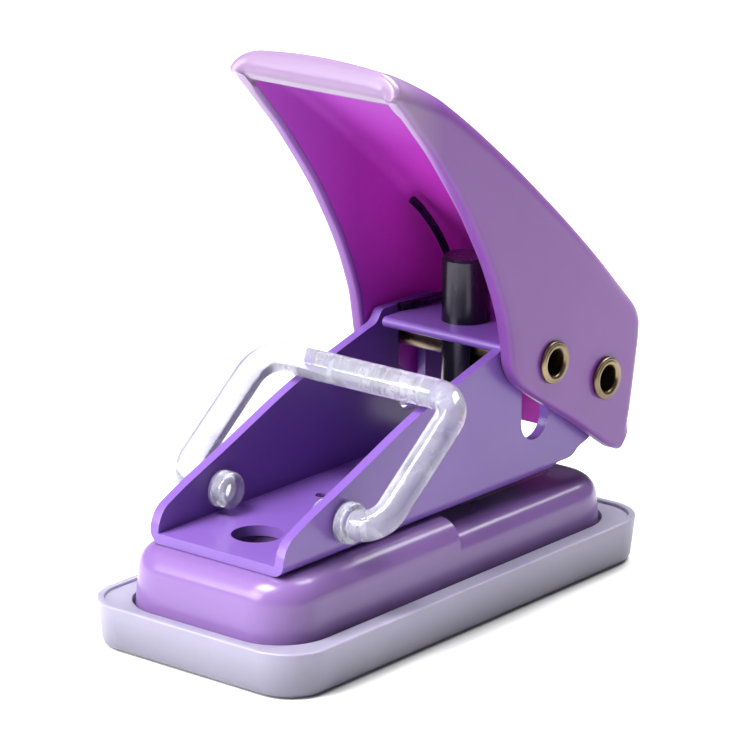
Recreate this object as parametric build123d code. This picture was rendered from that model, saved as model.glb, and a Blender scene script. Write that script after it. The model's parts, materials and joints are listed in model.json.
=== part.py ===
from build123d import *
import math
import os

# ---------------------------------------------------------------------------
# One-hole punch with a hinged cover lever, a steel frame, a snap-in chip tray
# and a clear lock bail.  Millimetres, +Z up.
# Origin: centre of the tray's flat underside.  -Y is the front (the nose of
# the lever), +Y the rear (the pivot), +X the right-hand side.
# ---------------------------------------------------------------------------

# chip tray ------------------------------------------------------------------
TRAY_W = 44.0            # width across the underside
TRAY_L = 91.2            # length along the underside
TRAY_H = 7.8             # height to the top of the rim bead
TRAY_FLARE = 0.9         # how far each wall leans out from bottom to top
TRAY_WALL = 1.3
TRAY_FLOOR = 1.3
TRAY_R = 6.9             # plan corner radius at the underside
LEDGE_TOP = 7.3          # flat ledge inside the rim bead
LEDGE_T = 1.1

# base shell -----------------------------------------------------------------
BASE_HW = 18.75          # half width at the bottom of the skirt
BASE_HL = 43.4          # half length at the bottom of the skirt
BASE_R = 9.2
BASE_BOTTOM = 1.5
BASE_TOP = 16.9          # land that carries the frame
THROAT_Z = 14.6          # lower land, the bottom of the paper throat
THROAT_Y = 0.6           # where the paper throat ends
BASE_DRAFT = 5.0         # degrees
BASE_WALL = 1.8
BASE_ROUND = 4.2         # top edge of the front part
BASE_ROUND_LOW = 3.4     # top edge of the rear part

# frame ----------------------------------------------------------------------
SHEET = 1.75
FRAME_IN = 12.15         # half width between the walls
FRAME_OUT = FRAME_IN + SHEET
FLOOR_Z = 17.0           # underside of the frame floor
FLOOR_FRONT = -38.7
FLOOR_REAR = 30.5
PLATE_Z = 42.3           # top of the bridge plate
PLATE_T = 1.75
PLATE_FRONT = 15.8
PLATE_REAR = 31.5
FRONT_HOLE_Y = -28.8
FRONT_HOLE_R = 4.2

# linkage --------------------------------------------------------------------
PIVOT_Y, PIVOT_Z = 39.8, 31.7
DRIVE_Y, DRIVE_Z = 25.5, 37.75
RIVET_R = 2.7            # outside of the hollow rivets
RIVET_BORE = 2.25
RIVET_FLANGE_R = 3.6
SLOT_Y = 24.85
SLOT_HALF = 3.6
SLOT_BOTTOM, SLOT_TOP = 24.0, 41.5

# punch pin ------------------------------------------------------------------
PIN_Y = 24.1
PIN_R = 4.1              # guide body
CUT_R = 3.0              # cutting end
PIN_TOP = 53.3
PIN_STEP = 27.0
PIN_TIP = 17.4

# lever ----------------------------------------------------------------------
LEVER_OUT = 17.1
LEVER_IN = 14.5
LEVER_TOP_T = 2.6

# lock bail ------------------------------------------------------------------
BAIL_Y, BAIL_Z = -24.0, 22.6
BAIL_LEN = 26.3
BAIL_ANGLE = 38.4        # degrees above horizontal, leaning to the rear
BAIL_X = 20.7
BAIL_SHIFT = 0.2         # the loop sits a little to the right
BAIL_R = 2.5
BAIL_PIN_R = 2.05

YZ = Plane.YZ            # local x = +Y, local y = +Z, normal = +X


def poly_yz(points):
    return make_face(YZ * Polyline(*points, close=True))


def slab(points, x0, x1):
    """Extrude a closed Y-Z outline from x0 to x1."""
    face = Pos(x0, 0, 0) * poly_yz(points)
    return extrude(face, amount=x1 - x0, dir=(1, 0, 0))


def cyl_x(radius, x0, x1, y, z):
    return Pos((x0 + x1) / 2, y, z) * Rot(0, 90, 0) * Cylinder(radius, x1 - x0)


def cyl_z(radius, z0, z1, x, y):
    return Pos(x, y, (z0 + z1) / 2) * Cylinder(radius, z1 - z0)


def rrect(w, l, r, z):
    return Pos(0, 0, z) * RectangleRounded(w, l, r)


def one(shape):
    """The single solid of a boolean result."""
    s = shape.solids()
    if len(s) != 1:
        print("   pieces:", [round(k.volume, 2) for k in s])
    big = max(s, key=lambda k: k.volume)
    big.topo_parent = None
    return big


os.makedirs("parts", exist_ok=True)
made = {}


# --- chip tray ---------------------------------------------------------------
def build_tray():
    ang = math.degrees(math.atan2(TRAY_FLARE, TRAY_H))
    outer = extrude(rrect(TRAY_W, TRAY_L, TRAY_R, 0), amount=TRAY_H, taper=-ang)
    outer = fillet(outer.edges().group_by(Axis.Z)[0], 1.5)
    inner = extrude(rrect(TRAY_W - 2 * TRAY_WALL + 0.3, TRAY_L - 2 * TRAY_WALL + 0.3,
                          TRAY_R - TRAY_WALL, TRAY_FLOOR),
                    amount=LEDGE_TOP - LEDGE_T - TRAY_FLOOR, taper=-ang)
    mouth = extrude(rrect(2 * (BASE_HW + 0.1), 2 * (BASE_HL + 0.1), BASE_R + 0.1,
                          LEDGE_TOP - LEDGE_T - 0.01), amount=5)
    bead = extrude(rrect(TRAY_W + 2 * TRAY_FLARE - 2 * 1.2, TRAY_L + 2 * TRAY_FLARE - 2 * 1.2,
                         TRAY_R - 0.2, LEDGE_TOP), amount=5)
    t = outer - inner - mouth - bead
    t = one(t)
    top = t.edges().group_by(Axis.Z)[-1]
    t = fillet(top, 0.25)
    return one(t)


# --- base shell --------------------------------------------------------------
SCREWS = [(-4.5, -7.5), (4.5, -7.5)]
SCREW_R = 1.15


def base_block(top, hw, hl, r, bottom, rounding):
    b = extrude(rrect(2 * hw, 2 * hl, r, bottom), amount=top - bottom, taper=BASE_DRAFT)
    return fillet(b.edges().group_by(Axis.Z)[-1], rounding)


def build_base():
    low = base_block(THROAT_Z, BASE_HW, BASE_HL, BASE_R, BASE_BOTTOM, BASE_ROUND_LOW)
    high = base_block(BASE_TOP, BASE_HW, BASE_HL, BASE_R, BASE_BOTTOM, BASE_ROUND)
    high = high & (Pos(0, THROAT_Y - 60, 10) * Box(80, 120, 40))
    b = one(low + high)
    cav_low = base_block(THROAT_Z - 2.0, BASE_HW - BASE_WALL, BASE_HL - BASE_WALL,
                         BASE_R - BASE_WALL, BASE_BOTTOM - 1, 2.0)
    cav_high = base_block(BASE_TOP - 2.0, BASE_HW - BASE_WALL, BASE_HL - BASE_WALL,
                          BASE_R - BASE_WALL, BASE_BOTTOM - 1, 2.8)
    cav_high = cav_high & (Pos(0, THROAT_Y - 1.9 - 60, 10) * Box(80, 120, 40))
    b = one(b - cav_low - cav_high)
    # bosses for the two screws that hold the frame down
    for x, y in SCREWS:
        b = b + cyl_z(3.2, 7.0, BASE_TOP - 1.9, x, y)
    b = b + Pos(0, -7.5, 11.5) * Box(9.0, 1.4, 7.0)
    # seat for the die plate, with a thick land under it
    b = b + (Pos(0, 24.0, 11.35) * Box(22.0, 27.0, 3.3))
    b = one(b)
    b = b - (Pos(0, 24.0, 13.6) * Box(18.1, 23.1, 2.0 + 0.001))
    b = b - cyl_z(4.2, 5.0, 16.0, 0, PIN_Y)
    for x, y in SCREWS:
        b = b - cyl_z(SCREW_R + 0.05, 6.0, 20.0, x, y)
        b = b - cyl_z(2.2, 6.0, 8.0, x, y)
    # through hole under the hole in the frame floor
    b = b - cyl_z(FRONT_HOLE_R + 0.45, 10.0, 20.0, 0, FRONT_HOLE_Y)
    return one(b)


# --- die plate ---------------------------------------------------------------
def build_die():
    d = Pos(0, 24.0, 13.6) * Box(18.0, 23.0, 2.0)
    d = fillet(d.edges().filter_by(Axis.Z), 1.0)
    d = d - cyl_z(CUT_R + 0.06, 12.0, 15.0, 0, PIN_Y)
    return one(d)


# --- frame -------------------------------------------------------------------
EAR_R = 6.7


def wall_face(top):
    """Side face of one wall; top is the height of its edge over the bridge plate."""
    a0, a1 = math.radians(85), math.radians(-44)
    e0 = (0, PIVOT_Y + EAR_R * math.cos(a0), PIVOT_Z + EAR_R * math.sin(a0))
    em = (0, PIVOT_Y + EAR_R * math.cos(math.radians(20)), PIVOT_Z + EAR_R * math.sin(math.radians(20)))
    e1 = (0, PIVOT_Y + EAR_R * math.cos(a1), PIVOT_Z + EAR_R * math.sin(a1))
    z0 = FLOOR_Z
    front = Line((0, FLOOR_FRONT, z0), (0, FLOOR_FRONT, z0 + SHEET))
    nose = Spline((0, FLOOR_FRONT, z0 + SHEET), (0, -38.45, z0 + 3.3), (0, -37.6, z0 + 4.9), (0, -36.0, 23.15),
                  tangents=[(0, 0, 1), (0, 0.90, 0.44)])
    slope = Spline((0, -36.0, 23.15), (0, -33.0, 24.55), (0, -28.5, 26.35), (0, -24.0, 28.05), (0, -16.0, 31.3),
                   (0, -8.0, 34.5), (0, -4.0, 35.9), (0, 0.0, 37.05), (0, 8.0, 39.2), (0, 13.6, 40.75),
                   tangents=[(0, 0.90, 0.44), (0, 0.965, 0.262)])
    step = Spline((0, 13.6, 40.75), (0, 15.4, 41.3), (0, 16.4, (top + 41.4) / 2 + 0.15), (0, 18.0, top),
                  tangents=[(0, 0.965, 0.262), (0, 1, 0)])
    flat = Line((0, 18.0, top), (0, 29.0, top))
    rear = Spline((0, 29.0, top), (0, 32.8, top - 0.5), (0, 36.4, 40.5 + (top - 43.3) * 0.5), e0,
                  tangents=[(0, 1, 0), (0, math.sin(a0), -math.cos(a0))])
    ear = ThreePointArc(e0, em, e1)
    heel = Spline(e1, (0, 43.0, 24.2), (0, 41.3, 21.6), (0, 39.0, 20.25), (0, 36.9, 19.6), (0, 35.3, 18.5),
                  (0, 32.6, 18.3), (0, 31.2, 18.1), (0, 30.5, z0), tangents=[(0, math.sin(a1), -math.cos(a1)), (0, 0, -1)])
    base = Line((0, 30.5, z0), (0, FLOOR_FRONT, z0))
    return Face(Wire([front, nose, slope, step, flat, rear, ear, heel, base]))


def build_frame():
    walls = []
    for x0, top in ((-FRAME_OUT, 43.3), (FRAME_IN, PLATE_Z)):
        w = one(extrude(Pos(x0, 0, 0) * wall_face(top), amount=SHEET, dir=(1, 0, 0)))
        walls.append(w)
    y0, y1 = FLOOR_FRONT, FLOOR_REAR
    floor = one(extrude(Pos(0, (y0 + y1) / 2, FLOOR_Z) * Rectangle(2 * FRAME_OUT, y1 - y0), amount=SHEET))
    h = PLATE_T / 2
    zc = PLATE_Z - h
    outline = [Line((0, PLATE_FRONT + h, PLATE_Z), (0, PLATE_REAR, PLATE_Z)),
               Line((0, PLATE_REAR, PLATE_Z), (0, PLATE_REAR, PLATE_Z - PLATE_T)),
               Line((0, PLATE_REAR, PLATE_Z - PLATE_T), (0, PLATE_FRONT + h, PLATE_Z - PLATE_T)),
               ThreePointArc((0, PLATE_FRONT + h, PLATE_Z - PLATE_T), (0, PLATE_FRONT, zc), (0, PLATE_FRONT + h, PLATE_Z))]
    plate = one(extrude(Pos(-11.2, 0, 0) * Face(Wire(outline)), amount=11.2 + FRAME_OUT, dir=(1, 0, 0)))
    f = one(walls[0] + walls[1] + floor + plate)
    # outside bend radii: two along the floor, one where the plate folds over
    r = 2.2
    for sx in (-1, 1):
        corner = Pos(sx * (FRAME_OUT - r / 2 + 0.5), 0, FLOOR_Z + r / 2 - 0.5) * Box(r + 1, 200, r + 1)
        roll = Pos(sx * (FRAME_OUT - r), 0, FLOOR_Z + r) * Rot(90, 0, 0) * Cylinder(r, 210)
        keep = Pos(0, 0, FLOOR_Z + 50 + r) * Box(80, 210, 100) + Pos(0, 0, FLOOR_Z) * Box(2 * (FRAME_OUT - r), 210, 20)
        f = one(f - (corner - roll - keep))
    y_lo, y_hi = 16.2, 44.0
    corner = Pos(FRAME_OUT - r / 2 + 0.5, (y_lo + y_hi) / 2, PLATE_Z - r / 2 + 0.5) * Box(r + 1, y_hi - y_lo, r + 1)
    roll = Pos(FRAME_OUT - r, 25, PLATE_Z - r) * Rot(90, 0, 0) * Cylinder(r, 200)
    keep = Pos(0, 0, PLATE_Z - r - 20) * Box(80, 210, 40) + Pos(0, 0, PLATE_Z) * Box(2 * (FRAME_OUT - r), 210, 20)
    f = one(f - (corner - roll - keep))
    # holes and slots
    f = f - cyl_z(FRONT_HOLE_R, 15, 20, 0, FRONT_HOLE_Y)
    f = f - cyl_z(CUT_R + 0.06, 15, 20, 0, PIN_Y)
    f = f - cyl_z(PIN_R + 0.06, 38, 45, 0, PIN_Y)
    for x, y in SCREWS:
        f = f - cyl_z(SCREW_R + 0.05, 15, 20, x, y)
    f = f - cyl_x(RIVET_R, -20, 20, PIVOT_Y, PIVOT_Z)
    f = f - cyl_x(BAIL_PIN_R + 0.08, -20, 20, BAIL_Y, BAIL_Z)
    zc0, zc1 = SLOT_BOTTOM + SLOT_HALF, SLOT_TOP - SLOT_HALF
    for x0, x1 in ((-20, -FRAME_IN + 0.01), (FRAME_IN - 0.01, 20)):
        slot = cyl_x(SLOT_HALF, x0, x1, SLOT_Y, zc0) + cyl_x(SLOT_HALF, x0, x1, SLOT_Y, zc1) \
            + Pos((x0 + x1) / 2, SLOT_Y, (zc0 + zc1) / 2) * Box(x1 - x0, 2 * SLOT_HALF, zc1 - zc0)
        f = f - slot
    return one(f)


# --- hollow rivets -----------------------------------------------------------
def rivet(y, z, span):
    """Tubular rivet along X with a rolled flange over each end, span between flanges."""
    h = 0.8
    ro, ri, rf = RIVET_R, RIVET_BORE, RIVET_FLANGE_R

    def end(sgn):
        # from the tube's outside, round the rolled flange, to the bore
        return [Line((ro, 0, sgn * span), (rf - 0.3, 0, sgn * span)),
                ThreePointArc((rf - 0.3, 0, sgn * span), (rf, 0, sgn * (span + 0.3)), (rf - 0.45, 0, sgn * (span + h - 0.08))),
                ThreePointArc((rf - 0.45, 0, sgn * (span + h - 0.08)), (ri + 0.75, 0, sgn * (span + h)),
                              (ri, 0, sgn * (span + h - 0.75)))]

    top, low = end(1), end(-1)
    wire = Wire([Line((ro, 0, -span), (ro, 0, span))] + top
                + [Line((ri, 0, span + h - 0.75), (ri, 0, -span - h + 0.75))] + low)
    body = revolve(Face(wire), axis=Axis.Z)
    return one(Pos(0, y, z) * Rot(0, 90, 0) * body)


# --- punch pin ---------------------------------------------------------------
def build_pin():
    p = cyl_z(PIN_R, PIN_STEP, PIN_TOP, 0, PIN_Y) + cyl_z(CUT_R, PIN_TIP, PIN_STEP, 0, PIN_Y)
    p = one(p)
    p = chamfer(p.edges().group_by(Axis.Z)[-1], 0.5)
    # side notch, open to the rear, that the drive rivet sits in
    half = RIVET_R + 0.12
    front = 24.17 - RIVET_R - 0.15
    notch = Pos(0, front + 10, DRIVE_Z) * Box(20, 20, 2 * half)
    p = p - notch
    # concave cutting end
    p = p - (Pos(0, PIN_Y, PIN_TIP) * Cone(CUT_R - 0.35, 0.4, 1.2, align=(Align.CENTER, Align.CENTER, Align.MIN)))
    return one(p)


# --- torsion spring ----------------------------------------------------------
SPRING_WIRE = 0.7
SPRING_R = 4.6
SPRING_X0 = -11.2
SPRING_TURNS = 3


def tube(points, radii):
    path = FilletPolyline(*points, radius=radii)
    d = Vector(*points[1]) - Vector(*points[0])
    plane = Plane(origin=points[0], z_dir=d)
    return sweep(plane * Circle(SPRING_WIRE), path=path)


def build_spring():
    solids = []
    # closed coil round the pivot rivet
    ring_o = cyl_x(SPRING_R + SPRING_WIRE, SPRING_X0, SPRING_X0 + 2 * SPRING_WIRE * SPRING_TURNS, PIVOT_Y, PIVOT_Z)
    ring_i = cyl_x(SPRING_R - SPRING_WIRE, SPRING_X0 - 1, SPRING_X0 + 9, PIVOT_Y, PIVOT_Z)
    solids.append(one(ring_o - ring_i))
    # leg up to the inside of the lever
    y_t = PIVOT_Y - SPRING_R - SPRING_WIRE
    up = tube([(-10.5, y_t - 0.75, PIVOT_Z + 0.5), (-10.7, 32.4, 50.9), (-11.5, 27.6, 57.6), (-12.1, 25.3, 60.0)],
              [8.0, 6.0])
    solids.append(one(up))
    # leg forward over the bridge plate
    fwd = tube([(-7.6, PIVOT_Y - 1.5, PIVOT_Z + SPRING_R + SPRING_WIRE + 0.75), (-7.9, 33.5, 43.9),
                (-9.0, 27.0, 43.9), (-11.4, 21.0, 43.1)], [4.0, 8.0])
    solids.append(one(fwd))
    return solids


# --- lever -------------------------------------------------------------------
LEVER_TOP = [(-12.6, 93.1), (-10.4, 92.2), (-2.8, 87.85), (2.35, 84.3), (7.4, 80.55), (12.6, 76.5),
             (17.9, 72.25), (23.2, 67.8), (28.7, 63.1), (34.2, 58.2), (39.8, 53.0), (45.5, 47.35), (48.8, 43.95)]
LEVER_FRONT = [(14.3, 42.0), (13.55, 46.0), (12.15, 50.0), (10.5, 54.0), (8.55, 58.0), (6.3, 62.0),
               (3.9, 66.0), (1.1, 70.0), (-1.9, 74.0), (-5.1, 78.0), (-8.7, 82.0), (-12.4, 85.9), (-15.0, 88.3)]
LEVER_BOTTOM = [(45.6, 18.55), (43.9, 18.2), (42.0, 18.9), (38.0, 21.7), (33.2, 25.1), (27.7, 28.6),
                (23.5, 31.2), (19.5, 33.9), (16.6, 36.2), (15.1, 38.7), (14.6, 42.0)]


def offset_curve(pts, d):
    """Points moved d to the lower left of a curve that runs front to rear."""
    out = []
    n = len(pts)
    for i, (y, z) in enumerate(pts):
        a = pts[max(i - 1, 0)]
        b = pts[min(i + 1, n - 1)]
        ty, tz = b[0] - a[0], b[1] - a[1]
        m = math.hypot(ty, tz)
        out.append((y + d * tz / m, z - d * ty / m))
    return out


def build_lever():
    top = Spline(*[(0, y, z) for y, z in LEVER_TOP])
    rear_corner = Spline((0, 48.8, 43.95), (0, 50.7, 41.6), (0, 51.1, 38.8),
                         tangents=[(0, 0.70, -0.72), (0, -0.12, -1)])
    rear = Spline((0, 51.1, 38.8), (0, 50.1, 32.8), (0, 48.75, 25.2), (0, 47.75, 20.6))
    heel = Spline((0, 47.75, 20.6), (0, 46.9, 19.1), (0, 45.6, 18.35), (0, 43.9, 18.15), (0, 42.2, 18.8))
    low = Spline((0, 42.2, 18.8), (0, 38.0, 21.7), (0, 33.2, 25.1), (0, 27.7, 28.6), (0, 23.5, 31.2),
                 (0, 19.5, 33.9))
    toe = Spline((0, 19.5, 33.9), (0, 16.8, 36.0), (0, 14.9, 38.7), (0, 14.3, 42.0))
    front = Spline(*[(0, y, z) for y, z in LEVER_FRONT])
    lip = Spline((0, -15.0, 88.3), (0, -15.6, 89.9), (0, -14.8, 92.0), (0, -12.6, 93.1))
    wire = Wire([top, rear_corner, rear, heel, low, toe, front, lip])
    face = Face(wire)
    outer = extrude(Pos(-LEVER_OUT, 0, 0) * face, amount=2 * LEVER_OUT, dir=(1, 0, 0))
    outer = one(outer)
    # the hollow between the skirts, under the top wall and in front of the rear wall
    inner_top = offset_curve(LEVER_TOP, LEVER_TOP_T)
    inner = [p for p in inner_top if p[0] > -8.0]
    inner[-1] = (46.7, 42.3)
    roof = Spline(*[(0, -16.2, 88.6), (0, -13.2, 87.6), (0, -10.2, 86.6), (0, -7.4, 86.1)] + [(0, y, z) for y, z in inner[1:]])
    p_end = inner[-1]
    back = Spline((0, p_end[0], p_end[1]), (0, 48.2, 40.0), (0, 48.4, 37.2))
    wall_in = Polyline((0, 48.4, 37.2), (0, 47.5, 30.8), (0, 46.2, 24.2), (0, 44.3, 14.0), (0, -40.0, 14.0),
                       (0, -40.0, 88.6), (0, -16.2, 88.6))
    hollow = Face(Wire([roof, back] + list(wall_in.edges())))
    cavity = extrude(Pos(-LEVER_IN, 0, 0) * hollow, amount=2 * LEVER_IN, dir=(1, 0, 0))
    lev = one(outer - cavity)
    for y, z in ((PIVOT_Y, PIVOT_Z), (DRIVE_Y, DRIVE_Z)):
        r = RIVET_R + 0.05 if (y, z) == (PIVOT_Y, PIVOT_Z) else RIVET_R
        lev = lev - cyl_x(r, -20, 20, y, z)
    return one(lev)


# --- lock bail ---------------------------------------------------------------
def build_bail():
    a = math.radians(BAIL_ANGLE)
    uy, uz = math.cos(a), math.sin(a)

    def P(x, s):
        return (x, BAIL_Y + s * uy, BAIL_Z + s * uz)

    xl, xr = BAIL_SHIFT - BAIL_X, BAIL_SHIFT + BAIL_X
    path = FilletPolyline(P(-15.2, 0), P(xl, 0), P(xl, BAIL_LEN), P(xr, BAIL_LEN),
                          P(xr, 0), P(15.2, 0), radius=[4.2, 4.8, 4.8, 4.2])
    b = sweep(Plane(origin=P(-15.2, 0), z_dir=(-1, 0, 0)) * Circle(BAIL_R), path=path)
    for s in (-1, 1):
        # collar outside the wall, pin through it, head inside
        lo, hi = sorted((s * (FRAME_OUT + 0.25), s * 16.2))
        collar = cyl_x(3.4, lo, hi, BAIL_Y, BAIL_Z)
        b = b + fillet(collar.edges().filter_by(GeomType.CIRCLE), 0.5)
        lo, hi = sorted((s * (FRAME_IN - 0.6), s * 15.0))
        b = b + cyl_x(BAIL_PIN_R, lo, hi, BAIL_Y, BAIL_Z)
        lo, hi = sorted((s * (FRAME_IN - 0.2), s * (FRAME_IN - 3.3)))
        head = cyl_x(3.05, lo, hi, BAIL_Y, BAIL_Z)
        inner = [e for e in head.edges().filter_by(GeomType.CIRCLE) if abs(e.center().X) < FRAME_IN - 2]
        outer = [e for e in head.edges().filter_by(GeomType.CIRCLE) if abs(e.center().X) > FRAME_IN - 2]
        head = fillet(inner, 1.1)
        b = b + head
    # trimmed moulding nub under the cross bar
    nub_y, nub_z = BAIL_Y + BAIL_LEN * uy, BAIL_Z + BAIL_LEN * uz
    b = b + cyl_z(0.75, nub_z - BAIL_R - 0.45, nub_z - 1.0, 9.2, nub_y)
    return one(b)


# --- screws ------------------------------------------------------------------
def build_screws():
    out = []
    for x, y in SCREWS:
        s = cyl_z(SCREW_R, 8.0, 18.5, x, y) + cyl_z(2.1, 6.4, 8.0, x, y)
        s = s - (Pos(x, y, 6.6) * Box(2.4, 0.55, 1.0)) - (Pos(x, y, 6.6) * Box(0.55, 2.4, 1.0))
        out.append(one(s))
    return out


made["chip_tray"] = build_tray()
made["base_shell"] = build_base()
made["die_plate"] = build_die()
made["frame_channel"] = build_frame()
made["punch_pin"] = build_pin()
made["pivot_rivet"] = rivet(PIVOT_Y, PIVOT_Z, LEVER_OUT + 0.12)
made["drive_rivet"] = rivet(DRIVE_Y, DRIVE_Z, LEVER_OUT)
made["torsion_spring"] = build_spring()
made["lever"] = build_lever()
made["lock_bail"] = build_bail()
made["frame_screws"] = build_screws()

for name, shape in made.items():
    solids = shape if isinstance(shape, list) else [shape]
    comp = solids[0] if len(solids) == 1 else Compound(children=solids)
    export_step(comp, f"parts/{name}.step")
    bb = comp.bounding_box()
    print(f"{name:16s} solids {len(solids)}  volume {sum(s.volume for s in solids):10.2f}  "
          f"x {bb.min.X:.2f}..{bb.max.X:.2f}  y {bb.min.Y:.2f}..{bb.max.Y:.2f}  z {bb.min.Z:.2f}..{bb.max.Z:.2f}")
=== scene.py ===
import json
import math

import bpy
import bmesh
import numpy as np
from mathutils import Matrix, Vector

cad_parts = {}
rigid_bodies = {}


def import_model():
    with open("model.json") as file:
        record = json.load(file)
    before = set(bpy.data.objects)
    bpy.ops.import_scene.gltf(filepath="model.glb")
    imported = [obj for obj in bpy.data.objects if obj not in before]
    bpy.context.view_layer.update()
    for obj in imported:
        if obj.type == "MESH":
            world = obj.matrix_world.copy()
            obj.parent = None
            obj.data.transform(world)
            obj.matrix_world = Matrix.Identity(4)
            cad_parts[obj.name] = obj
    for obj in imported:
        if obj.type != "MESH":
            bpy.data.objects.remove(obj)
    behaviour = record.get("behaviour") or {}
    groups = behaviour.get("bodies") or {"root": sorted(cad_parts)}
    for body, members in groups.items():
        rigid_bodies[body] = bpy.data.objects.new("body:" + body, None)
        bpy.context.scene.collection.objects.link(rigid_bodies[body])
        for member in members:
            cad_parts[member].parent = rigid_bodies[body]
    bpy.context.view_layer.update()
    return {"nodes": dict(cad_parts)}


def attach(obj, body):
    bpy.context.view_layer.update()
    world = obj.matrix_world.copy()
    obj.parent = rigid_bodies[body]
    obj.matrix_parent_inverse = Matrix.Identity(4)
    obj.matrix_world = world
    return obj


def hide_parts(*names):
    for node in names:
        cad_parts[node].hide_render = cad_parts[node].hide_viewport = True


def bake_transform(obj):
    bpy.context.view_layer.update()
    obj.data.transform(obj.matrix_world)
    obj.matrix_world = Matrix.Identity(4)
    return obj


for o in list(bpy.data.objects):
    bpy.data.objects.remove(o, do_unlink=True)

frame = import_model()
nodes = frame["nodes"]
col = bpy.context.scene.collection
MM = 0.001


# ---------------------------------------------------------------------------
# node helpers
# ---------------------------------------------------------------------------
def new_mat(name):
    m = bpy.data.materials.new(name)
    m.use_nodes = True
    nt = m.node_tree
    nt.nodes.clear()
    out = nt.nodes.new("ShaderNodeOutputMaterial")
    bsdf = nt.nodes.new("ShaderNodeBsdfPrincipled")
    nt.links.new(bsdf.outputs["BSDF"], out.inputs["Surface"])
    return m, nt, bsdf, out


def node(nt, kind, **props):
    n = nt.nodes.new(kind)
    for k, v in props.items():
        if k in n.inputs:
            n.inputs[k].default_value = v
        else:
            setattr(n, k, v)
    return n


def coords(nt, scale=(1, 1, 1)):
    """Object coordinates, so nothing slides with the camera."""
    tc = nt.nodes.new("ShaderNodeTexCoord")
    mp = nt.nodes.new("ShaderNodeMapping")
    mp.inputs["Scale"].default_value = scale
    nt.links.new(tc.outputs["Object"], mp.inputs["Vector"])
    return mp.outputs["Vector"]


def noise(nt, vec, scale, detail=3.0, rough=0.5):
    n = nt.nodes.new("ShaderNodeTexNoise")
    n.inputs["Scale"].default_value = scale
    n.inputs["Detail"].default_value = detail
    n.inputs["Roughness"].default_value = rough
    nt.links.new(vec, n.inputs["Vector"])
    return n.outputs["Fac"]


def ramp(nt, fac, stops):
    r = nt.nodes.new("ShaderNodeValToRGB")
    e = r.color_ramp.elements
    while len(e) > 1:
        e.remove(e[-1])
    e[0].position, e[0].color = stops[0][0], stops[0][1]
    for p, c in stops[1:]:
        k = e.new(p)
        k.color = c
    nt.links.new(fac, r.inputs["Fac"])
    return r.outputs["Color"]


def maprange(nt, fac, a, b, lo, hi):
    m = nt.nodes.new("ShaderNodeMapRange")
    m.inputs["From Min"].default_value = a
    m.inputs["From Max"].default_value = b
    m.inputs["To Min"].default_value = lo
    m.inputs["To Max"].default_value = hi
    nt.links.new(fac, m.inputs["Value"])
    return m.outputs["Result"]


def bump(nt, bsdf, heights, distance, strength=1.0):
    """heights: list of (output, weight)."""
    acc = None
    for h, w in heights:
        mul = nt.nodes.new("ShaderNodeMath")
        mul.operation = "MULTIPLY"
        nt.links.new(h, mul.inputs[0])
        mul.inputs[1].default_value = w
        if acc is None:
            acc = mul.outputs[0]
        else:
            add = nt.nodes.new("ShaderNodeMath")
            add.operation = "ADD"
            nt.links.new(acc, add.inputs[0])
            nt.links.new(mul.outputs[0], add.inputs[1])
            acc = add.outputs[0]
    b = nt.nodes.new("ShaderNodeBump")
    b.inputs["Strength"].default_value = strength
    b.inputs["Distance"].default_value = distance
    nt.links.new(acc, b.inputs["Height"])
    nt.links.new(b.outputs["Normal"], bsdf.inputs["Normal"])


def rgba(r, g, b, a=1.0):
    return (r, g, b, a)


def srgb(r, g, b):
    def f(c):
        c /= 255.0
        return c / 12.92 if c <= 0.04045 else ((c + 0.055) / 1.055) ** 2.4
    return (f(r), f(g), f(b), 1.0)


def scuff(nt, vec, scale=900.0):
    """Fine directionless handling marks: a single fine noise."""
    return noise(nt, vec, scale, 5.0, 0.65)


# ---------------------------------------------------------------------------
# materials
# ---------------------------------------------------------------------------
def plastic(name, base, dark, rough=(0.24, 0.32), coat=0.25, peel=0.000004, sss=0.0, sss_scale=0.002,
            lip=None, lip_y=(-12.0, -7.0), grade=None):
    """Glossy injection-moulded plastic: slight colour drift and faint peel.
    lip: paler colour towards the lever's nose, painted light where the thick nose lets no light through.  grade:
    painted glow of light shining through the wall, colours from the front (first) to the rear."""
    m, nt, b, out = new_mat(name)
    v = coords(nt)
    large = noise(nt, v, 30.0, 2.0, 0.5)
    mid = noise(nt, v, 200.0, 2.0, 0.45)
    c = ramp(nt, large, [(0.30, dark), (0.70, base)])
    if lip or grade:
        tc = nt.nodes.new("ShaderNodeTexCoord")
        sp = nt.nodes.new("ShaderNodeSeparateXYZ")
        nt.links.new(tc.outputs["Object"], sp.inputs["Vector"])
        y = sp.outputs["Y"]
    # painted glow: colour graded from front to rear for light shining through the wall
    if grade:
        f = maprange(nt, y, -0.015, 0.036, 0.0, 1.0)
        c = ramp(nt, f, grade)
    # painted light: paler towards the thick nose, which lets no light through
    if lip:
        f = maprange(nt, y, lip_y[0] * MM, lip_y[1] * MM, 1.0, 0.0)
        mx = nt.nodes.new("ShaderNodeMix")
        mx.data_type = "RGBA"
        nt.links.new(f, mx.inputs[0])
        nt.links.new(c, mx.inputs[6])
        mx.inputs[7].default_value = lip
        c = mx.outputs[2]
    nt.links.new(c, b.inputs["Base Color"])
    nt.links.new(maprange(nt, mid, 0.0, 1.0, rough[0], rough[1]), b.inputs["Roughness"])
    b.inputs["IOR"].default_value = 1.5
    b.inputs["Specular IOR Level"].default_value = 0.35
    b.inputs["Coat Weight"].default_value = coat
    b.inputs["Coat Roughness"].default_value = 0.12
    if sss:
        b.inputs["Subsurface Weight"].default_value = sss
        b.inputs["Subsurface Radius"].default_value = (1.0, 0.6, 1.0)
        b.inputs["Subsurface Scale"].default_value = sss_scale
    bump(nt, b, [(mid, 1.0)], peel)
    return m


# three copies of the lever's one purple plastic; the colour differences between them are painted light shining
# through the wall: the outer skin is tinted by it and pales towards the thick nose
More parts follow.
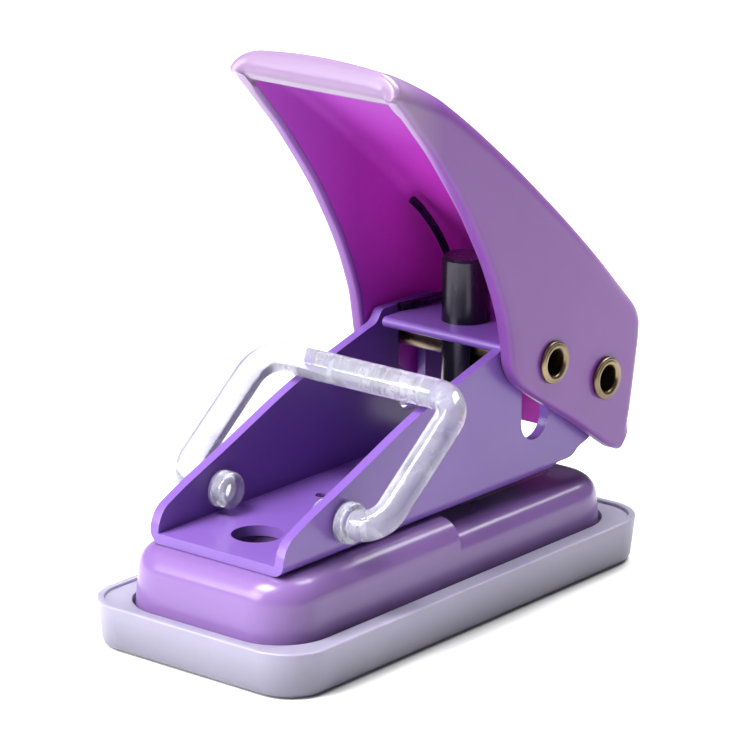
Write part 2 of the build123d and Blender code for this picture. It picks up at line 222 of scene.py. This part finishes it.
mat_lever = plastic("mat_lever_plastic", srgb(116, 66, 142), srgb(112, 62, 138), rough=(0.28, 0.36), coat=0.12,
                    sss=0.2, sss_scale=0.001, lip=srgb(132, 106, 146), lip_y=(-11.5, -3.5))
# painted light: paler, greyer lip plastic, where no light shines through the thick lip
mat_lip = plastic("mat_lever_lip", srgb(128, 106, 138), srgb(124, 102, 134), rough=(0.26, 0.34), coat=0.15,
                  sss=0.2, sss_scale=0.001)
# painted glow: saturated magenta for light shining through the thin roof and skirts, graded front to rear
mat_lever_in_glow = plastic("mat_lever_inside_painted_glow", srgb(150, 50, 160), srgb(150, 50, 160), rough=(0.34, 0.42), coat=0.1,
                       grade=[(0.0, srgb(168, 84, 180)), (0.25, srgb(160, 70, 174)), (0.55, srgb(168, 54, 172)), (1.0, srgb(224, 66, 214))])
mat_base = plastic("mat_base_plastic", srgb(120, 90, 148), srgb(116, 86, 144), rough=(0.26, 0.34), coat=0.2,
                   sss=0.15, sss_scale=0.001)


def make_tray():
    m, nt, b, out = new_mat("mat_tray_frosted")
    v = coords(nt)
    large = noise(nt, v, 45.0, 3.0, 0.5)
    fine = noise(nt, v, 2600.0, 4.0, 0.7)
    mid = noise(nt, v, 180.0, 4.0, 0.6)
    c = ramp(nt, large, [(0.3, srgb(156, 152, 174)), (0.7, srgb(164, 160, 182))])
    tc = nt.nodes.new("ShaderNodeTexCoord")
    sp = nt.nodes.new("ShaderNodeSeparateXYZ")
    nt.links.new(tc.outputs["Object"], sp.inputs["Vector"])
    # painted shade: the tray greys towards its foot, darkest at the floor
    foot_shade = maprange(nt, sp.outputs["Z"], 0.0, 0.0062, 0.62, 1.0)
    mul = nt.nodes.new("ShaderNodeMix")
    mul.data_type = "RGBA"
    mul.blend_type = "MULTIPLY"
    mul.inputs[0].default_value = 1.0
    nt.links.new(c, mul.inputs[6])
    foot_shade_grey = nt.nodes.new("ShaderNodeCombineColor")
    for k in range(3):
        nt.links.new(foot_shade, foot_shade_grey.inputs[k])
    nt.links.new(foot_shade_grey.outputs[0], mul.inputs[7])
    nt.links.new(mul.outputs[2], b.inputs["Base Color"])
    nt.links.new(maprange(nt, mid, 0.3, 0.7, 0.30, 0.42), b.inputs["Roughness"])
    b.inputs["IOR"].default_value = 1.49
    b.inputs["Subsurface Weight"].default_value = 0.4
    b.inputs["Subsurface Radius"].default_value = (1.0, 0.95, 1.0)
    b.inputs["Subsurface Scale"].default_value = 0.002
    b.inputs["Transmission Weight"].default_value = 0.3
    bump(nt, b, [(mid, 1.0), (fine, 0.15)], 0.00001)
    return m


mat_tray = make_tray()


def make_enamel():
    """Gloss enamel on folded sheet: light orange peel."""
    m, nt, b, out = new_mat("mat_frame_enamel")
    v = coords(nt)
    peel = noise(nt, v, 300.0, 2.0, 0.45)
    large = noise(nt, v, 55.0, 2.0, 0.5)
    c = ramp(nt, large, [(0.3, srgb(108, 76, 152)), (0.7, srgb(112, 80, 156))])
    nt.links.new(c, b.inputs["Base Color"])
    nt.links.new(maprange(nt, peel, 0.0, 1.0, 0.26, 0.34), b.inputs["Roughness"])
    b.inputs["Metallic"].default_value = 0.0
    b.inputs["IOR"].default_value = 1.5
    b.inputs["Specular IOR Level"].default_value = 0.35
    b.inputs["Coat Weight"].default_value = 0.15
    b.inputs["Coat Roughness"].default_value = 0.15
    bump(nt, b, [(peel, 1.0)], 0.000006)
    return m


mat_frame = make_enamel()


def metal(name, base, dark, rough=(0.2, 0.4), metallic=1.0, scale=900.0, stretch=(1, 1, 1), depth=0.000003):
    m, nt, b, out = new_mat(name)
    v = coords(nt, stretch)
    large = noise(nt, v, scale * 0.25, 4.0, 0.6)
    fine = noise(nt, v, scale, 5.0, 0.65)
    c = ramp(nt, large, [(0.35, dark), (0.65, base)])
    nt.links.new(c, b.inputs["Base Color"])
    nt.links.new(maprange(nt, fine, 0.3, 0.7, rough[0], rough[1]), b.inputs["Roughness"])
    b.inputs["Metallic"].default_value = metallic
    bump(nt, b, [(fine, 1.0)], depth)
    return m


mat_pin = metal("mat_pin_black_steel", srgb(58, 56, 64), srgb(44, 42, 50), rough=(0.18, 0.3), metallic=0.9, scale=700.0, stretch=(1, 1, 0.15))
mat_die = metal("mat_die_steel", srgb(170, 170, 176), srgb(140, 140, 148), rough=(0.25, 0.4), scale=600.0, stretch=(1, 0.1, 1))
mat_brass = metal("mat_rivet_antique_brass", srgb(150, 132, 104), srgb(96, 82, 66), rough=(0.26, 0.42), scale=500.0)
mat_wire = metal("mat_spring_wire", srgb(70, 64, 84), srgb(56, 50, 68), rough=(0.24, 0.36), scale=1400.0)
mat_screw = metal("mat_screw_zinc", srgb(176, 176, 182), srgb(150, 150, 158), rough=(0.25, 0.4), scale=900.0)


def make_clear():
    """Slightly milky clear moulding, cloudier in streaks."""
    m, nt, b, out = new_mat("mat_bail_clear")
    v = coords(nt)
    mid = noise(nt, v, 150.0, 3.0, 0.5)
    fine = noise(nt, v, 1200.0, 4.0, 0.6)
    streak = noise(nt, coords(nt, (1.0, 0.35, 0.35)), 420.0, 4.0, 0.6)
    c = ramp(nt, mid, [(0.3, rgba(0.55, 0.55, 0.64)), (0.7, rgba(0.69, 0.69, 0.76))])
    nt.links.new(c, b.inputs["Base Color"])
    nt.links.new(maprange(nt, fine, 0.35, 0.75, 0.06, 0.13), b.inputs["Roughness"])
    b.inputs["IOR"].default_value = 1.46
    nt.links.new(maprange(nt, streak, 0.30, 0.75, 0.86, 0.60), b.inputs["Transmission Weight"])
    bump(nt, b, [(mid, 1.0)], 0.00006)
    return m


mat_clear = make_clear()


# ---------------------------------------------------------------------------
# mesh helpers
# ---------------------------------------------------------------------------
def smooth_by_angle(me, deg):
    me.polygons.foreach_set("use_smooth", [True] * len(me.polygons))
    me.set_sharp_from_angle(angle=math.radians(deg))


def add_mesh(name, verts, faces, mat):
    me = bpy.data.meshes.new(name)
    me.from_pydata([tuple(v) for v in verts], [], faces)
    me.validate()
    me.update()
    o = bpy.data.objects.new(name, me)
    me.materials.append(mat)
    col.objects.link(o)
    return o


def apply_mods(o):
    bpy.context.view_layer.update()
    dg = bpy.context.evaluated_depsgraph_get()
    me = bpy.data.meshes.new_from_object(o.evaluated_get(dg), preserve_all_data_layers=True, depsgraph=dg)
    old = o.data
    o.modifiers.clear()
    o.data = me
    return o


def catmull(pts, n):
    """n points evenly spaced along a centripetal spline through pts."""
    P = np.array(pts, float)
    P = np.vstack([2 * P[0] - P[1], P, 2 * P[-1] - P[-2]])
    out = []
    for i in range(1, len(P) - 2):
        p0, p1, p2, p3 = P[i - 1], P[i], P[i + 1], P[i + 2]
        t = [0.0]
        for a, b in ((p0, p1), (p1, p2), (p2, p3)):
            t.append(t[-1] + max(np.linalg.norm(b - a), 1e-6) ** 0.5)
        t0, t1, t2, t3 = t
        for k in range(24):
            u = t1 + (t2 - t1) * k / 24.0
            A1 = (t1 - u) / (t1 - t0) * p0 + (u - t0) / (t1 - t0) * p1
            A2 = (t2 - u) / (t2 - t1) * p1 + (u - t1) / (t2 - t1) * p2
            A3 = (t3 - u) / (t3 - t2) * p2 + (u - t2) / (t3 - t2) * p3
            B1 = (t2 - u) / (t2 - t0) * A1 + (u - t0) / (t2 - t0) * A2
            B2 = (t3 - u) / (t3 - t1) * A2 + (u - t1) / (t3 - t1) * A3
            out.append((t2 - u) / (t2 - t1) * B1 + (u - t1) / (t2 - t1) * B2)
    out.append(P[-2])
    out = np.array(out)
    s = np.concatenate([[0], np.cumsum(np.linalg.norm(np.diff(out, axis=0), axis=1))])
    q = np.linspace(0, s[-1], n) if np.isscalar(n) else np.array(n) * s[-1]
    return np.stack([np.interp(q, s, out[:, k]) for k in range(out.shape[1])], 1), s[-1]


def bevelled_copy(name, node_name, mat, width, segments=2, angle=35, dissolve=0.6):
    """A new mesh with the node's shape and slightly rounded cut edges."""
    src = nodes[node_name]
    bm = bmesh.new()
    bm.from_mesh(src.data)
    bmesh.ops.remove_doubles(bm, verts=bm.verts, dist=2e-6)
    bmesh.ops.dissolve_limit(bm, angle_limit=math.radians(dissolve), verts=bm.verts, edges=bm.edges, use_dissolve_boundaries=False)
    me = bpy.data.meshes.new(name)
    bm.to_mesh(me)
    bm.free()
    o = bpy.data.objects.new(name, me)
    col.objects.link(o)
    me.materials.append(mat)
    b = o.modifiers.new("edge", "BEVEL")
    b.width = width
    b.segments = segments
    b.limit_method = "ANGLE"
    b.angle_limit = math.radians(angle)
    b.use_clamp_overlap = True
    b.miter_outer = "MITER_ARC"
    b.harden_normals = False
    apply_mods(o)
    smooth_by_angle(o.data, 40)
    w = o.modifiers.new("wn", "WEIGHTED_NORMAL")
    w.keep_sharp = True
    w.weight = 80
    apply_mods(o)
    return o


# ---------------------------------------------------------------------------
# lever: one moulded cover, as a folded shell with rounded rims
# ---------------------------------------------------------------------------
def build_lever():
    top = [(-12.3, 92.9), (-10.2, 92.15), (-7.7, 90.9), (-2.75, 87.9), (2.35, 84.35), (7.4, 80.6), (12.6, 76.5),
           (17.9, 72.25), (23.2, 67.8), (28.7, 63.1), (34.2, 58.2), (39.8, 53.0), (45.5, 47.35), (48.55, 44.25),
           (50.2, 42.2), (51.05, 39.9), (50.9, 37.4), (50.2, 33.0), (49.5, 29.0), (48.8, 25.2), (48.2, 22.6)]
    low = [(-14.5, 88.3), (-12.2, 85.9), (-8.65, 82.0), (-5.05, 78.0), (-1.9, 74.0), (1.1, 70.0), (3.9, 66.0),
           (6.3, 62.0), (8.6, 58.0), (10.55, 54.0), (12.2, 50.0), (13.55, 46.0), (14.3, 42.0), (14.9, 38.9),
           (16.6, 36.1), (19.5, 33.85), (23.5, 31.2), (27.7, 28.6), (33.2, 25.1), (38.0, 21.75), (41.2, 19.5),
           (43.0, 18.45), (44.4, 18.15)]
    n = 120
    T, lt = catmull(top, n)
    # the low line is paired with the top line so that the rulings fan evenly
    s = np.linspace(0, 1, n)
    pair = np.interp(s, [0, 0.30, 0.55, 0.70, 0.80, 0.90, 1.0], [0, 0.26, 0.47, 0.61, 0.76, 0.90, 1.0])
    B, lb = catmull(low, pair)
    tang = np.gradient(T, axis=0)
    tang /= np.linalg.norm(tang, axis=1)[:, None]
    nrm = np.stack([tang[:, 1], -tang[:, 0]], 1)                       # inward normal of the top line
    D = B - T
    L = np.linalg.norm(D, axis=1)
    D /= L[:, None]
    cos = np.clip((D * nrm).sum(1), 0.35, 1)
    dist = s * lt                                                       # mm from the lip
    sm = lambda a, b, x: np.clip((x - a) / (b - a), 0, 1) ** 2 * (3 - 2 * np.clip((x - a) / (b - a), 0, 1))
    rear = sm(lt - 24.0, lt - 14.0, dist)
    R = 4.2 - 1.0 * sm(2, 16, dist) - 0.9 * rear                       # rounding, down the skirt
    R = np.minimum(R, (0.80 - 0.18 * sm(2, 12, dist)) * L * cos)
    Rx = 6.4 - 3.0 * sm(1, 14, dist) - 1.1 * rear                      # rounding, across the roof
    W = 17.28 - 0.18 * sm(0, 45, dist)
    Wi = W - 2.75
    crown = 0.55 - 0.30 * sm(0, 40, dist) - 0.1 * rear
    thick = 5.4 - 2.3 * sm(2.9, 5.6, dist) - 0.6 * sm(5.6, 10, dist) - 0.2 * rear
    tt = np.minimum(thick / cos, L - 0.25)
    tt[0] = L[0] - 0.25
    # thickened lip: the underside runs back from the lip's lower edge
    rr = 1.0
    ri = 2.2 - 0.4 * sm(2, 12, dist)

    nx = 10
    verts = []
    rows_o, rows_i = [], []

    def P(i, x, t):
        return (x, T[i, 0] + D[i, 0] * t, T[i, 1] + D[i, 1] * t)

    for i in range(n):
        half = []
        w, wi, r, rx, c, li = W[i], Wi[i], R[i], Rx[i], cos[i], L[i]
        xs = np.linspace(0, 1, nx)
        flat = w - rx
        rim = min(rr, 0.3 * li)
        for k in range(nx):
            x = flat * xs[k]
            half.append(P(i, x, crown[i] * (x / flat) ** 2 / c))
        na = 10
        for k in range(1, na + 1):
            a = math.pi / 2 * k / na
            # starts tangent to the crowned top
            t = (crown[i] + r * (1 - math.cos(a))) / c
            half.append(P(i, flat + rx * math.sin(a), min(t, li - rim)))
        t0 = min((crown[i] + r) / c, li - rim)
        ns = 10
        for k in range(1, ns + 1):
            half.append(P(i, w, t0 + (li - rim - t0) * k / ns))
        nr = 6
        for k in range(1, nr + 1):
            a = math.pi / 2 * k / nr
            half.append(P(i, w - rim * (1 - math.cos(a)), li - rim + rim * math.sin(a)))
        # inside
        inner = []
        q = tt[i]
        depth = max(li - q, 0.02)
        ra = min(ri[i], 0.7 * depth * c)
        rim2 = min(0.8, 0.5 * max(depth - ra / c, 0.02))
        flat2 = wi - ra
        for k in range(nx):
            inner.append(P(i, flat2 * xs[k], q))
        for k in range(1, na + 1):
            a = math.pi / 2 * k / na
            inner.append(P(i, flat2 + ra * math.sin(a), q + ra * (1 - math.cos(a)) / c))
        t1 = q + ra / c
        for k in range(1, ns + 1):
            inner.append(P(i, wi, t1 + (li - rim2 - t1) * k / ns))
        for k in range(1, nr + 1):
            a = math.pi / 2 * k / nr
            inner.append(P(i, wi + rim2 * (1 - math.cos(a)), li - rim2 + rim2 * math.sin(a)))
        full = [(-x, y, z) for x, y, z in reversed(half[1:])] + half
        fulli = [(-x, y, z) for x, y, z in reversed(inner[1:])] + inner
        a0 = len(verts)
        verts += full
        rows_o.append(list(range(a0, a0 + len(full))))
        a0 = len(verts)
        verts += fulli
        rows_i.append(list(range(a0, a0 + len(fulli))))
    m = len(rows_o[0])
    faces = []
    for i in range(n - 1):
        for k in range(m - 1):
            faces.append((rows_o[i][k], rows_o[i][k + 1], rows_o[i + 1][k + 1], rows_o[i + 1][k]))
            faces.append((rows_i[i][k], rows_i[i + 1][k], rows_i[i + 1][k + 1], rows_i[i][k + 1]))
        faces.append((rows_o[i][-1], rows_i[i][-1], rows_i[i + 1][-1], rows_o[i + 1][-1]))
        faces.append((rows_o[i][0], rows_o[i + 1][0], rows_i[i + 1][0], rows_i[i][0]))

    # lip and heel: rounded strips between the outer and the inner grid
    def cap(i, fwd, r, q_top, q_low, flip):
        nonlocal verts, faces
        nr = 6
        rows = [rows_o[i]]
        O = np.array([verts[k] for k in rows_o[i]])
        I = np.array([verts[k] for k in rows_i[i]])
        V = I - O
        gap = np.linalg.norm(V, axis=1)
        U = V / np.maximum(gap, 1e-9)[:, None]
        qa = np.minimum(q_top, 0.32 * gap)[:, None]
        qb = np.minimum(q_low, 0.62 * gap)[:, None]
        h = np.minimum(r, 0.75 * gap)[:, None]
        F = np.array([0.0, fwd[0], fwd[1]])
        layers = []
        for k in range(1, nr + 1):
            a = math.pi / 2 * k / nr
            layers.append(O + F * h * math.sin(a) + U * qa * (1 - math.cos(a)))
        layers.append(O + F * h + U * (qa + (gap[:, None] - qa - qb) * 0.5))
        for k in range(nr, 0, -1):
            a = math.pi / 2 * k / nr
            layers.append(I + F * h * math.sin(a) - U * qb * (1 - math.cos(a)))
        for lay in layers:
            a0 = len(verts)
            verts += [tuple(p) for p in lay]
            rows.append(list(range(a0, a0 + len(lay))))
        rows.append(rows_i[i])
        for a, b in zip(rows[:-1], rows[1:]):
            for k in range(m - 1):
                f = (a[k], b[k], b[k + 1], a[k + 1])
                faces.append(tuple(reversed(f)) if flip else f)
        for k, rev in ((m - 1, flip), (0, not flip)):
            ring = [rw[k] for rw in rows]
            faces.append(tuple(reversed(ring)) if rev else tuple(ring))

    d0 = D[0]
    # perpendicular to the lip face, pointing forward
    fwd = np.array([d0[1], -d0[0]])
    if fwd[0] > 0:
        fwd = -fwd
    n_shell = len(faces)
    cap(0, fwd, 1.3, 1.3, 2.8, False)
    n_cap = len(faces)
    d1 = D[-1]
    bwd = np.array([d1[1], -d1[0]])
    if bwd[1] > 0:
        bwd = -bwd
    cap(n - 1, bwd, 0.8, 0.8, 0.8, True)
    V = np.array(verts) * MM
    o = add_mesh("lever_cover", V, faces, mat_lever)
    o.data.materials.append(mat_lip)
    o.data.materials.append(mat_lever_in_glow)
    inside = set()
    for rw in rows_i:
        inside.update(rw)
    lip_in = int(np.searchsorted(dist, 3.4))
    lip_rows = set()
    for rw in rows_i[:lip_in + 1]:
        lip_rows.update(rw)
    nin = 10 + 10 + 9                                   # inner half: roof, corner and skirt without its rim
    half_n = (m - 1) // 2
    # inner faces that get the painted glow of light shining through the wall
    painted_glow_faces = set()
    for rw in rows_i:
        painted_glow_faces.update(rw[half_n - nin:half_n + nin + 1])
    # material 1: paler lip plastic on the lip cap and inside the thick lip; material 2: painted magenta glow on the
    # inner roof and skirts
    for pi, poly in enumerate(o.data.polygons):
        vs = set(poly.vertices)
        if n_shell <= pi < n_cap:
            poly.material_index = 1
        elif vs <= inside:
            if vs <= lip_rows:
                poly.material_index = 1
            elif vs <= painted_glow_faces:
                poly.material_index = 2
    bm = bmesh.new()
    bm.from_mesh(o.data)
    bmesh.ops.remove_doubles(bm, verts=bm.verts, dist=3e-6)
    bmesh.ops.recalc_face_normals(bm, faces=bm.faces)
    bm.to_mesh(o.data)
    bm.free()
    # rivet holes
    for y, z in ((39.8, 31.7), (25.5, 37.75)):
        bpy.ops.mesh.primitive_cylinder_add(vertices=96, radius=2.76 * MM, depth=60 * MM,
                                            location=(0, y * MM, z * MM), rotation=(0, math.pi / 2, 0))
        c = bpy.context.object
        bo = o.modifiers.new("hole", "BOOLEAN")
        bo.operation = "DIFFERENCE"
        bo.solver = "EXACT"
        bo.object = c
        apply_mods(o)
        bpy.data.objects.remove(c, do_unlink=True)
    smooth_by_angle(o.data, 38)
    return o


lever = build_lever()
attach(lever, "lever")
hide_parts("lever")


# ---------------------------------------------------------------------------
# folded frame, with the cut edges broken as on painted sheet
# ---------------------------------------------------------------------------
channel = bevelled_copy("frame_folded_sheet", "frame_channel", mat_frame, 0.40 * MM, 4, 35)
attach(channel, "base")
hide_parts("frame_channel")


# ---------------------------------------------------------------------------
# torsion spring: a real helix with its two legs
# ---------------------------------------------------------------------------
def build_spring():
    cy, cz, r = 39.8, 31.7, 4.6
    pts = []
    # leg against the inside of the lever, down to the coil's front tangent
    up = [(-12.3, 25.0, 60.4), (-11.9, 26.2, 59.2), (-11.3, 28.2, 56.6), (-10.9, 31.0, 52.6), (-10.75, 33.2, 48.2),
          (-10.7, 34.5, 42.5), (-10.7, 35.05, 37.0)]
    up_s, _ = catmull(up, 46)
    for p in up_s:
        pts.append(tuple(p))
    turns = 3.25
    x0, x1 = -10.7, -7.4
    k = 150
    for i in range(k + 1):
        u = i / k
        a = math.pi + 2 * math.pi * turns * u     # from the front of the coil, downwards first
        x = x0 + (x1 - x0) * u
        pts.append((x, cy + r * math.cos(a), cz + r * math.sin(a)))
    # the coil ends at its top, running forward over the plate
    last = pts[-1]
    fwd = [last, (-7.4, 38.6, 36.35), (-7.7, 36.2, 38.4), (-8.0, 33.6, 42.2), (-8.6, 31.6, 43.6), (-9.6, 27.0, 43.3), (-11.3, 21.6, 43.05), (-11.6, 20.8, 43.0)]
    fs, _ = catmull(fwd[1:], 50)
    for p in fs:
        pts.append(tuple(p))
    P = np.array(pts) * MM
    # smooth once
    for _ in range(2):
        P[1:-1] = 0.25 * P[:-2] + 0.5 * P[1:-1] + 0.25 * P[2:]
    cu = bpy.data.curves.new("spring_curve", "CURVE")
    cu.dimensions = "3D"
    sp = cu.splines.new("POLY")
    sp.points.add(len(P) - 1)
    for i, p in enumerate(P):
        sp.points[i].co = (p[0], p[1], p[2], 1)
    cu.bevel_depth = 0.7 * MM
    cu.bevel_resolution = 5
    cu.use_fill_caps = True
    tmp = bpy.data.objects.new("spring_tmp", cu)
    col.objects.link(tmp)
    bpy.context.view_layer.update()
    me = bpy.data.meshes.new_from_object(tmp.evaluated_get(bpy.context.evaluated_depsgraph_get()))
    bpy.data.objects.remove(tmp, do_unlink=True)
    me.name = "return_spring"
    o = bpy.data.objects.new("return_spring", me)
    me.materials.clear()
    me.materials.append(mat_wire)
    col.objects.link(o)
    smooth_by_angle(me, 50)
    return o


spring = build_spring()
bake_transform(spring)
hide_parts("torsion_spring")

# ---------------------------------------------------------------------------
# CAD nodes whose shape is already right
# ---------------------------------------------------------------------------
for name, mat in (("chip_tray", mat_tray), ("base_shell", mat_base), ("die_plate", mat_die), ("punch_pin", mat_pin),
                  ("pivot_rivet", mat_brass), ("drive_rivet", mat_brass), ("lock_bail", mat_clear),
                  ("frame_screws", mat_screw)):
    o = nodes[name]
    o.data.materials.clear()
    o.data.materials.append(mat)
for name in ("frame_channel", "lever", "torsion_spring"):
    nodes[name].data.materials.clear()
    nodes[name].data.materials.append({"frame_channel": mat_frame, "lever": mat_lever, "torsion_spring": mat_wire}[name])

# ---------------------------------------------------------------------------
# stage, light and camera
# ---------------------------------------------------------------------------
def make_floor():
    m, nt, b, out = new_mat("mat_floor")
    v = coords(nt)
    c = ramp(nt, noise(nt, v, 3.0, 2.0), [(0.3, rgba(0.70, 0.70, 0.705)), (0.7, rgba(0.715, 0.715, 0.72))])
    nt.links.new(c, b.inputs["Base Color"])
    b.inputs["Roughness"].default_value = 0.7
    bpy.ops.mesh.primitive_plane_add(size=12.0, location=(0, 0, 0))
    f = bpy.context.object
    f.name = "floor"
    f.data.materials.append(m)
    return f


make_floor()


def area(name, loc, target, size, energy, colour=(1, 1, 1), size_y=None):
    l = bpy.data.lights.new(name, "AREA")
    l.shape = "RECTANGLE"
    l.size = size
    l.size_y = size_y or size
    l.energy = energy
    l.color = colour
    o = bpy.data.objects.new(name, l)
    o.location = loc
    d = Vector(target) - Vector(loc)
    o.rotation_euler = d.to_track_quat("-Z", "Y").to_euler()
    col.objects.link(o)
    return o


# key softbox to the left of the camera, low; top softbox behind; top softbox in front
area("key", (-0.34, -0.75, 0.42), (0, 0, 0.04), 0.50, 9.5)
area("top_back", (-0.05, 0.50, 0.75), (0, 0.12, 0.0), 0.60, 15.0)
area("top_front", (-0.16, -0.38, 0.78), (0, -0.02, 0.03), 0.40, 14.0)

w = bpy.data.worlds.new("studio")
bpy.context.scene.world = w
w.use_nodes = True
bg = w.node_tree.nodes["Background"]
bg.inputs["Color"].default_value = (1, 1, 1, 1)
bg.inputs["Strength"].default_value = 0.16

cam_data = bpy.data.cameras.new("cam")
cam_data.sensor_width = 36.0
cam_data.sensor_fit = "HORIZONTAL"
cam_data.lens = 4275.6 / 740.0 * 36.0
cam_data.clip_start = 0.01
cam_data.clip_end = 50
cam = bpy.data.objects.new("camera", cam_data)
col.objects.link(cam)
right = Vector((0.7702, 0.6378, 0.0)).normalized()
back = Vector((0.6100, -0.7366, 0.2920)).normalized()
up = back.cross(right).normalized()
right = up.cross(back).normalized()
M = Matrix(((right.x, up.x, back.x, 0.4212), (right.y, up.y, back.y, -0.5095), (right.z, up.z, back.z, 0.2409), (0, 0, 0, 1)))
cam.matrix_world = M
bpy.context.scene.camera = cam

bpy.context.scene.view_settings.view_transform = "Standard"
bpy.context.scene.view_settings.look = "None"
bpy.context.scene.view_settings.exposure = 0.0
